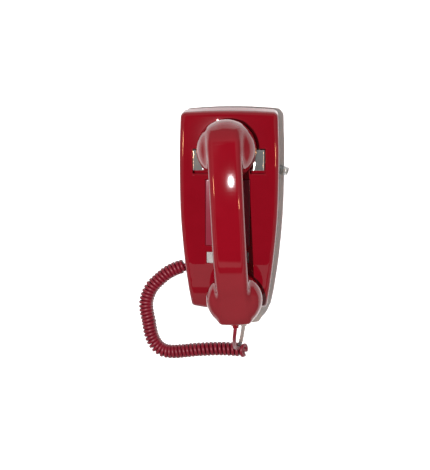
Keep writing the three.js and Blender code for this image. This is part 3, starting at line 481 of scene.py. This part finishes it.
def make_cords():
    """The handset cord and the line lead, each with its plug."""
    place = Matrix.Translation([v * MM for v in HANDSET_PLUG_PLACE])
    plug = make_plug("handset_plug", "handset_cord_plug", place, 16.2, 3.8, 6.5)
    cord, line = make_handset_cord()

    place = (Matrix.Translation([v * MM for v in LINE_PLUG_PLACE])
             @ Matrix.Rotation(math.radians(LINE_PLUG_TURN), 4, "Z"))
    plug = make_plug("line_plug_clear", "line_plug", place, 13.6, 4.8, 6.4)
    line = even_line(smooth_line(LINE_CORD_ROUTE), 1.0)
    cord = tube("line_lead", line, WIRE_RADIUS, 16)
    finish(cord, "grey_cord", "phone", "line_cord")


make_camera()
make_cords()


# ---------------------------------------------------------------- housing

FACE_Z = 50.0
WALL = 2.5
EDGE_RADIUS = 5.0
SIDE_PROFILE = [(100.3, 52.9), (60, 54.2), (10, 53.8), (-22, 52.2), (-52, 49.4), (-76, 46.7), (-106, 42.8)]
TOP_CORNER, BOTTOM_CORNER = 6.0, 5.0
BOTTOM_BOW = 4.0
SIDE_DRAFT, TOP_DRAFT = 1.5, 3.2
TOP_SHOULDER = 14.0  # depth over which the top edge slopes out
FACE_TOP_BOW, WALL_TOP_BOW = 1.4, 2.2
SLOPE_START, SLOPE = -58.0, 0.16
CURL_START, CURL = -85.0, 0.009
WELL = {"y": 68.3, "radius": 28.0, "floor": 45.0, "rim": 30.0}
SLOT = {"inner": 22.8, "outer": 39.2, "top": 67.2, "bottom": 40.6}
GUARD = {"low": 33.0, "top": 51.0, "thickness": 2.0}  # bent strip behind the lower end of each slot
PANEL_X = -1.2
PANEL = {"half": 24.0, "top": 34.0, "bottom": -38.0, "thickness": 1.5, "proud": 0.7}
CARD = {"half": 22.8, "top": -46.0, "bottom": -57.6, "thickness": 0.4, "window": 0.7}
SCREW = {"y": -92.0, "boss": 4.2, "bore": 1.9, "low": 1.9, "depth": 24.0}
JACK_OPENING = ((-60, -71.5, -3), (-38, -60.5, 12))  # opposite corners
LINE_OPENING = ((44, 37, -3), (64, 51.5, 8.4))
WHEEL = {"x": 24.0, "y": -104.3, "radius": 11.4, "low": 4.0, "high": 8.0}


def housing_outline():
    """The edge of the front face, seen from the front."""
    top_x, top_y = SIDE_PROFILE[0][1] - TOP_CORNER, SIDE_PROFILE[0][0]
    bottom_x, bottom_y = SIDE_PROFILE[-1][1] - BOTTOM_CORNER, SIDE_PROFILE[-1][0]
    across = np.linspace(0, 1, 9)
    quarter = np.linspace(0, math.pi / 2, 7)
    right = [(top_x * s, top_y + TOP_CORNER + FACE_TOP_BOW * (1 - s * s)) for s in across[:-1]]
    right += [(top_x + TOP_CORNER * math.sin(t), top_y + TOP_CORNER * math.cos(t)) for t in quarter[:-1]]
    right += [(x, y) for y, x in smooth_line(SIDE_PROFILE, 4)]
    right += [(bottom_x + BOTTOM_CORNER * math.cos(t), bottom_y - BOTTOM_CORNER * math.sin(t))
              for t in quarter[1:-1]]
    right += [(bottom_x * s, bottom_y - BOTTOM_CORNER - BOTTOM_BOW * (1 - s * s)) for s in across[::-1]]
    left = [(-x, y) for x, y in right[-2:0:-1]]
    return np.array(right + left)


OUTLINE = housing_outline()


def face_distance(y, z):
    """Distance in front of the face, which leans back and then curls back towards the foot."""
    leaned = np.maximum(0, SLOPE_START - y)
    curled = np.maximum(0, CURL_START - y)
    height = FACE_Z - SLOPE * leaned - CURL * curled**2
    slope = SLOPE * (leaned > 0) + 2 * CURL * curled
    return (z - height) / np.sqrt(1 + slope**2), height


def housing_walls(x, y, z):
    """The front face and the four sides, open at the back. The top edge slopes out towards the wall."""
    front, height = face_distance(y, z)
    bow = (WALL_TOP_BOW - FACE_TOP_BOW) * np.maximum(0, 1 - (x / 46) ** 2)
    near_top = np.clip((y - 95) / 9, 0, 1)
    round_corner = np.clip((abs(x) - SIDE_PROFILE[0][1] + TOP_CORNER) / TOP_CORNER, 0, 1)
    near_top = near_top * near_top * (3 - 2 * near_top) * np.sqrt(1 - round_corner**2)
    side_draft = SIDE_DRAFT * np.clip(1 - z / (height - EDGE_RADIUS), 0, 1.2)
    top_draft = (TOP_DRAFT + bow) * np.clip((height - EDGE_RADIUS / 2 - z) / TOP_SHOULDER, 0, 1)
    sides = outline(OUTLINE, x, y) - side_draft - (top_draft - side_draft) * near_top
    body = overlap(sides, front, EDGE_RADIUS)
    hollow = overlap(sides + WALL, front + WALL, 2.0)
    return without(overlap(body, -z, 0.5), hollow, 0.5)


def with_earpiece_well(body, x, y, z):
    """Adds the dished rest for the earpiece."""
    across = np.hypot(x, y - WELL["y"])
    body = np.minimum(body, rod(across, z, WELL["rim"] + WALL, WELL["floor"] - WALL, FACE_Z - 1))
    flare = (WELL["rim"] - WELL["radius"]) / (FACE_Z - WELL["floor"])
    cone = (across - WELL["radius"] - flare * (z - WELL["floor"])) / math.hypot(1, flare)
    return without(body, overlap(cone, WELL["floor"] - z, 1.5), 0.4)


def with_slots(body, x, y, z):
    """Cuts the two slots for the prongs, and puts a dust guard behind the lower end of each."""
    body = without(body, box(abs(x), y, z, (SLOT["inner"], SLOT["bottom"], FACE_Z - 14),
                             (SLOT["outer"], SLOT["top"], FACE_Z + 5), 0.6), 0.6)
    corner = (SLOT["inner"] - 1, SLOT["bottom"] - 2.6, GUARD["low"])
    outer = SLOT["outer"] + 1
    guard_wall = box(abs(x), y, z, corner, (outer, SLOT["bottom"] - 0.4, FACE_Z - 1), 0.4)
    guard_floor = box(abs(x), y, z, corner, (outer, GUARD["top"], GUARD["low"] + GUARD["thickness"]), 0.4)
    return np.minimum(body, np.minimum(guard_wall, guard_floor))


def with_recesses(body, x, y, z):
    """Sinks the blank panel and the card into the face."""
    panel_floor = FACE_Z - PANEL["thickness"] + PANEL["proud"] - GAP
    card_floor = FACE_Z - CARD["thickness"] - CARD["window"] - 2 * GAP
    for part, floor in ((PANEL, panel_floor), (CARD, card_floor)):
        half = part["half"] + GAP
        body = without(body, box(x, y, z, (PANEL_X - half, part["bottom"] - GAP, floor),
                                 (PANEL_X + half, part["top"] + GAP, FACE_Z + 5), 0.3), 0.35)
    return body


def with_openings(body, x, y, z):
    """Cuts the rim open for the two cords and the loudness wheel."""
    for low, high in (JACK_OPENING, LINE_OPENING):
        body = without(body, box(x, y, z, low, high, 1.0), 0.5)
    return without(body, box(x, y, z, (WHEEL["x"] - 10, WHEEL["y"] - 16, WHEEL["low"] - 0.8),
                             (WHEEL["x"] + 10, WHEEL["y"] + 0.5, WHEEL["high"] + 0.8), 0.5), 0.4)


def housing(x, y, z):
    """The moulded housing, with the boss for its screw."""
    body = with_earpiece_well(housing_walls(x, y, z), x, y, z)
    body = with_slots(body, x, y, z)
    body = with_recesses(body, x, y, z)
    to_screw = np.hypot(x, y - SCREW["y"])
    body = np.minimum(body, rod(to_screw, z, SCREW["boss"], SCREW["low"], FACE_Z - 9))
    body = without(body, rod(to_screw, z, SCREW["bore"], -5, SCREW["depth"]), 0.3)
    return with_openings(body, x, y, z)


def panel(x, y, z):
    """The blank panel in place of a dial."""
    top = FACE_Z + PANEL["proud"]
    return box(x, y, z, (PANEL_X - PANEL["half"], PANEL["bottom"], top - PANEL["thickness"]),
               (PANEL_X + PANEL["half"], PANEL["top"], top), 0.6)


def card_window(x, y, z):
    """The clear strip over the number card."""
    return box(x, y, z, (PANEL_X - CARD["half"], CARD["bottom"], FACE_Z - CARD["window"]),
               (PANEL_X + CARD["half"], CARD["top"], FACE_Z), 0.2)


def loudness_wheel(x, y, z):
    """A knurled wheel that turns about a pin."""
    dx, dy = x - WHEEL["x"], y - WHEEL["y"]
    across, angle = np.hypot(dx, dy), np.arctan2(dy, dx)
    knurl = 0.35 * np.cos(36 * angle)
    wheel = rod(across - knurl, z, WHEEL["radius"] - 0.35, WHEEL["low"], WHEEL["high"], 0.6)
    return without(wheel, rod(across, z, 2.3, 0, 12), 0.3)


def make_housing():
    """The housing with the panel, the card's cover and the loudness wheel."""
    finish(solid("housing_shell", housing, (-55, -114.5, 0), (55, 114, 50.2), 0.75, simplify=0.02),
           "red_plastic", "phone", "housing")
    finish(solid("blank_panel", panel, (-27, -39, 48), (24, 35, 51), 0.5, simplify=0.01),
           "red_plastic", "phone", "dial_blank_panel", look="red_plastic_satin")
    finish(solid("card_cover", card_window, (-27, -58.5, 48.5), (24, -45, 50.5), 0.3, simplify=0.01),
           "clear_plastic", "phone", "card_window")
    low = (WHEEL["x"] - 12, WHEEL["y"] - 12, WHEEL["low"])
    high = (WHEEL["x"] + 12, WHEEL["y"] + 12, WHEEL["high"])
    finish(solid("knurled_wheel", loudness_wheel, low, high, 0.3), "grey_plastic", "loudness",
           "loudness_wheel")


# ---------------------------------------------------------------- switchhook

PRONG = {"outer": 38.0, "inner_top": 28.0, "inner_bottom": 24.0, "top_y": 66.2, "bottom_y": 44.6, "top": 61.0,
         "slope": 7.0, "flange": 1.6, "flange_slope": 32.0}
HOOK_Y, HOOK_Z = 60.0, 17.0


def switchhook(x, y, z):
    """The rocking bar with its two chromed prongs, alike on both sides."""
    half = abs(x)
    body = box(half, y, z, (-38, HOOK_Y - 5.5, HOOK_Z - 4), (38, HOOK_Y + 5.5, HOOK_Z + 4), 0.6)
    column = box(half, y, z, (27, HOOK_Y - 6, HOOK_Z - 4), (37, HOOK_Y + 4, FACE_Z - 3), 0.6)
    body = joined(body, column, 1.0)
    corners = np.array([(PRONG["inner_top"], PRONG["top_y"]), (PRONG["outer"], PRONG["top_y"]),
                        (PRONG["outer"], PRONG["bottom_y"]), (PRONG["inner_bottom"], PRONG["bottom_y"])])
    slope, flange_slope = math.radians(PRONG["slope"]), math.radians(PRONG["flange_slope"])
    outward = (z - PRONG["top"] + (half - PRONG["inner_bottom"]) * math.tan(slope)) * math.cos(slope)
    widening = (PRONG["inner_top"] - PRONG["inner_bottom"]) / (PRONG["top_y"] - PRONG["bottom_y"])
    from_inner = half - PRONG["inner_bottom"] - widening * (y - PRONG["bottom_y"])
    rise = (PRONG["flange"] - from_inner) * math.tan(flange_slope)
    flange = (z - PRONG["top"] + 0.8 + rise) * math.cos(flange_slope)
    end = overlap(outward, flange, 0.4)
    prong = overlap(overlap(outline(corners, half, y), end, 0.4), FACE_Z - 6 - z, 0.6)
    body = np.minimum(body, prong)
    body = without(body, box(x, y, z, (-9, HOOK_Y - 3.8, HOOK_Z - 8), (9, HOOK_Y + 8, HOOK_Z + 8)), 0.4)
    finger = box(x, y, z, (16, HOOK_Y - 24, HOOK_Z - 2.6), (21, HOOK_Y - 5, HOOK_Z + 0.6), 0.4)
    body = np.minimum(body, finger)
    return without(body, np.hypot(y - HOOK_Y, z - HOOK_Z) - 2.2 + 0 * x, 0.3)


# ---------------------------------------------------------------- handset

HANDSET_PLACE = (2.6, -10.5, 46.6)
HANDSET_YAW, HANDSET_ROLL, ROLL_HEIGHT = 3.1, -1.6, 28.0
CUP_Y = 78.0
TRANSMITTER_TILT, TRANSMITTER_DROP = 12.0, -0.8
HANDLE_END = -110.3
RECEIVER_RADIUS, TRANSMITTER_RADIUS = 31.6, 30.4
RIM = 21.3
HANDLE_HALF = 17.6
HANDLE_WALL = 4.0
CROWN = 550.0  # radius across the back of the handle
CORD_HEIGHT = 24.6
HANDLE_BACK = [
    (108, 33), (104, 41), (98, 49), (91.5, 54.6), (86, 57), (80, 57.7), (55, 59.4), (25, 60.9), (0, 61.2),
    (-25, 60.4), (-41, 58.8), (-53, 55.4), (-70, 48.8), (-90, 40), (-110.3, 31), (-116, 28.4),
]
HANDLE_UNDERSIDE = [
    (108, 22), (102, 23), (94, 25), (80, 29), (55, 36.5), (25, 40), (0, 40.5), (-25, 39.5), (-41, 37),
    (-53, 34), (-70, 27), (-90, 18), (-110.3, 12.2), (-116, 10.5),
]
RECEIVER_DOME = [(31.0, 0), (31.6, 5), (30.9, 11), (28.6, 17.5), (24.6, 23.5), (17.6, 29), (8, 32), (0, 32.4)]
TRANSMITTER_DOME = [(29.8, 0), (30.4, 4), (29.6, 9), (26.4, 15), (19.4, 19.5), (10, 21.2), (0, 21.5)]

handset_frame = (Matrix.Translation([v * MM for v in HANDSET_PLACE])
                 @ Matrix.Translation((0, 0, ROLL_HEIGHT * MM))
                 @ Matrix.Rotation(math.radians(HANDSET_YAW), 4, "Z")
                 @ Matrix.Rotation(math.radians(HANDSET_ROLL), 4, "Y")
                 @ Matrix.Translation((0, 0, -ROLL_HEIGHT * MM)))
receiver_frame = handset_frame @ Matrix.Translation((0, CUP_Y * MM, 0))
transmitter_frame = (handset_frame @ Matrix.Translation((0, -CUP_Y * MM, TRANSMITTER_DROP * MM))
                     @ Matrix.Rotation(math.radians(TRANSMITTER_TILT), 4, "X"))


def profile_heights(pairs):
    """Places along the handle and the heights there, on a smooth curve, from the foot end up."""
    curve = smooth_line(pairs, 8)[::-1]
    return curve[:, 0], curve[:, 1]


BACK_LINE = profile_heights(HANDLE_BACK)
UNDER_LINE = profile_heights(HANDLE_UNDERSIDE)


def above_line(line, y, z):
    """Distance above a curve drawn along the handle."""
    height = np.interp(y, *line)
    slope = (np.interp(y + 1, *line) - np.interp(y - 1, *line)) / 2
    return (z - height) / np.sqrt(1 + slope**2)


def handle(x, y, z, inset, low, high):
    """The handle between two places along it, drawn in by inset."""
    back = above_line(BACK_LINE, y, z + x**2 / (2 * CROWN)) + inset
    under = -above_line(UNDER_LINE, y, z) + inset
    near_end = np.clip((y - HANDLE_END) / 14, 0, 1)
    edge = 2.0 + 4.5 * near_end
    plan = overlap(abs(x) - HANDLE_HALF + inset, abs(y - (low + high) / 2) - (high - low) / 2, 5.0)
    return overlap(overlap(plan, back, edge), under, 4.0)


def dome(profile, across, z):
    """A turned cup with a smooth profile, given above the joint with its cap."""
    curve = smooth_line([(r, RIM + h) for r, h in profile], 4)
    mirrored = np.vstack([curve, curve[-2::-1] * (-1, 1)])
    return outline(mirrored, across, z)


def to_transmitter(y, z):
    """Coordinates in the tilted frame of the mouthpiece."""
    tilt = math.radians(TRANSMITTER_TILT)
    dy, dz = y + CUP_Y, z - TRANSMITTER_DROP
    return math.cos(tilt) * dy + math.sin(tilt) * dz, math.cos(tilt) * dz - math.sin(tilt) * dy


def handset_shell(x, y, z):
    """The hollow handle with the outer halves of both cups."""
    ty, tz = to_transmitter(y, z)
    to_receiver, to_mouth = np.hypot(x, y - CUP_Y), np.hypot(x, ty)
    body = handle(x, y, z, 0.0, HANDLE_END, 104)
    body = joined(body, dome(RECEIVER_DOME, to_receiver, z), 5.0)
    body = joined(body, dome(TRANSMITTER_DOME, to_mouth, tz), 4.0)
    body = overlap(body, HANDLE_END - y, 1.0)
    body = overlap(body, np.where(y > 0, RIM - z, RIM - tz), 0.5)
    body = without(body, handle(x, y, z, HANDLE_WALL, -82, 76), 0.3)
    body = without(body, rod(to_receiver, z, 27.9, 10, 46, 10.0), 0.3)
    body = without(body, rod(to_mouth, tz, 27.2, 5, 38, 8.0), 0.3)
    return without(body, np.hypot(x, z - CORD_HEIGHT) - 3.5 + np.maximum(0, y - HANDLE_END - 30), 0.3)


CAP_FRONT = 23.6
HOLE_RADIUS = 1.2


def cap_shape(rim_radius, skirt_radius, hole_rings):
    """A screw-on cap in its cup's frame, with rings of sound holes through its front."""
    profile = np.array([
        (0, 1.6), (10, 1.5), (17, 1.1), (20.5, 0.4), (22.6, 0), (CAP_FRONT, 0.2), (24.4, 1.2), (24.9, 6),
        (25.2, 12), (25.8, 15.2), (27.4, 17.2),
        (rim_radius - 0.6, 18.7), (rim_radius + 0.1, 19.6), (rim_radius + 0.2, 21),
        (skirt_radius, 21), (skirt_radius, 27), (25.2, 27), (25.2, 20), (23.2, 15), (22.4, 4), (0, 3.9),
    ])
    places = []
    for count, distance in hole_rings:
        for i in range(count):
            turn = 2 * math.pi * i / count
            places.append((distance * math.cos(turn), distance * math.sin(turn)))

    def shape(x, y, z):
        body = outline(profile, np.hypot(x, y), z) - 0.05
        to_hole = np.inf
        for hole_x, hole_y in places:
            to_hole = np.minimum(to_hole, np.hypot(x - hole_x, y - hole_y))
        return without(body, rod(to_hole, z, HOLE_RADIUS, -2, 6), 0.3)

    return shape


def grommet(x, y, z):
    """The ribbed sleeve where the cord goes into the handle."""
    across, out = np.hypot(x, z - CORD_HEIGHT), HANDLE_END - y
    ribs = 0.25 * np.cos(out * 2 * math.pi / 1.1)
    collar = rod(across, out, 5.3, GAP, 1.5, 0.5)
    sleeve = rod(across - ribs, out, 3.3, 1, 4.6, 0.5)
    neck = rod(across, out, 3.1, -7, 1.2, 0.3)
    body = np.minimum(joined(collar, sleeve, 0.5), neck)
    return without(body, across - WIRE_RADIUS - 0.1 + np.maximum(0, -out - 5), 0.2)


def make_handset():
    """The shell, the cord's sleeve and the two caps."""
    pieces = [
        ("handset_body", handset_shell, (-32, -111, 4), (32, 110.5, 62), 0.85, handset_frame,
         ["handset_shell"]),
        ("cord_sleeve", grommet, (-5, -116, 19), (5, -102, 30), 0.3, handset_frame, ["handset_grommet"]),
        ("earpiece_cap", cap_shape(RECEIVER_RADIUS - 1.2, 27.6, [(1, 0), (6, 6)]), (-31.5, -31.5, -0.5),
         (31.5, 31.5, 27.5), 0.6, receiver_frame, ["receiver_cap"]),
        ("mouthpiece_cap", cap_shape(TRANSMITTER_RADIUS - 1.2, 26.9, [(1, 0), (6, 6), (12, 12)]),
         (-31, -31, -0.5), (31, 31, 27.5), 0.6, transmitter_frame, ["transmitter_cap"]),
    ]
    for name, shape, low, high, step, place, nodes in pieces:
        piece = solid(name, shape, low, high, step)
        piece.matrix_world = place
        finish(piece, "red_plastic", "handset", *nodes, look="red_plastic_worn")


make_housing()
finish(solid("chromed_hook", switchhook, (-38.5, 35, 12), (38.5, 67, 62), 0.6), "chrome", "hook",
       "switchhook_cradle")
make_handset()


# ---------------------------------------------------------------- remaining pieces keep their CAD shape

for part in frame["record"]["subparts"]:
    carried = frame["nodes"][part["node"]]
    if not carried.hide_render:
        carried.data.materials.clear()
        carried.data.materials.append(materials[part["material_slot"]])


# ---------------------------------------------------------------- floor, lights and surroundings

def make_floor():
    """A wide white floor."""
    half = 6.0
    mesh = bpy.data.meshes.new("floor")
    corners = [(-half, -half, 0), (half, -half, 0), (half, half, 0), (-half, half, 0)]
    mesh.from_pydata(corners, [], [(0, 1, 2, 3)])
    floor = bpy.data.objects.new("floor", mesh)
    bpy.context.collection.objects.link(floor)
    material = new_material("floor_paper", (0.86, 0.86, 0.86), roughness=0.7)
    first, second = (0.85, 0.85, 0.85), (0.88, 0.88, 0.88)
    mesh.materials.append(varied(material, first, second, 3, (0.6, 0.8), 300, 0.00002))


def round_light(name, place, target, size, power, colour):
    """A round lamp that shines from a place towards a target."""
    data = bpy.data.lights.new(name, "AREA")
    data.shape = "DISK"
    data.size = size
    data.energy = power
    data.color = colour
    light = bpy.data.objects.new(name, data)
    light.location = place
    light.rotation_mode = "QUATERNION"
    light.rotation_quaternion = (Vector(target) - Vector(place)).to_track_quat("-Z", "Y")
    bpy.context.collection.objects.link(light)


def make_surroundings():
    """A dim room: dark overhead, with paler walls, brighter towards the foot of the telephone."""
    world = bpy.data.worlds.new("room")
    bpy.context.scene.world = world
    world.use_nodes = True
    nodes, links = world.node_tree.nodes, world.node_tree.links
    place = nodes.new("ShaderNodeTexCoord")
    parts = nodes.new("ShaderNodeSeparateXYZ")
    links.new(place.outputs["Generated"], parts.inputs["Vector"])

    def ramp(stops):
        node = nodes.new("ShaderNodeValToRGB")
        elements = node.color_ramp.elements
        while len(elements) < len(stops):
            elements.new(0.5)
        for element, (position, value) in zip(elements, stops):
            element.position = position
            element.color = (value, value, value, 1)
        links.new(parts.outputs["Z"], node.inputs["Fac"])
        return node.outputs["Color"]

    towards_foot = ramp([(0.0, 0.35), (0.60, 0.60), (0.66, 0.60), (0.70, 0.10), (0.83, 0.10), (0.85, 0.65),
                         (0.90, 0.65), (0.92, 0.05)])
    elsewhere = ramp([(0.0, 0.15), (0.75, 0.10), (0.95, 0.05)])
    beside = ramp([(0.0, 0.25), (0.88, 0.40), (0.97, 0.40), (0.99, 0.06)])
    towards_top = ramp([(0.0, 0.40), (0.80, 0.45), (0.90, 0.10), (0.97, 0.05)])

    def blend_to(colour, other, axis, start, end):
        share = nodes.new("ShaderNodeMapRange")
        share.inputs["From Min"].default_value = start
        share.inputs["From Max"].default_value = end
        links.new(parts.outputs[axis], share.inputs["Value"])
        mix = nodes.new("ShaderNodeMix")
        mix.data_type = "RGBA"
        links.new(share.outputs["Result"], mix.inputs[0])
        links.new(colour, mix.inputs[6])
        links.new(other, mix.inputs[7])
        return mix.outputs[2]

    colour = blend_to(elsewhere, beside, "X", 0.10, 0.18)
    colour = blend_to(colour, beside, "X", -0.10, -0.18)
    colour = blend_to(colour, towards_foot, "Y", 0.0, -0.12)
    colour = blend_to(colour, towards_top, "Y", 0.35, 0.5)
    links.new(colour, nodes["Background"].inputs["Color"])
    nodes["Background"].inputs["Strength"].default_value = 1.0


make_floor()
make_surroundings()
round_light("flash", (-0.066, 0.061, 0.905), (0, -0.03, 0), 0.012, 14.0, (1.0, 0.98, 1.0))
round_light("lamp_left", (-0.95, 0.02, 2.0), (0, 0, 0), 0.12, 3.0, (1.0, 0.55, 0.25))
round_light("lamp_right", (1.05, -0.02, 2.0), (0, 0, 0), 0.12, 3.0, (1.0, 0.55, 0.25))
bpy.context.scene.view_settings.view_transform = "Standard"
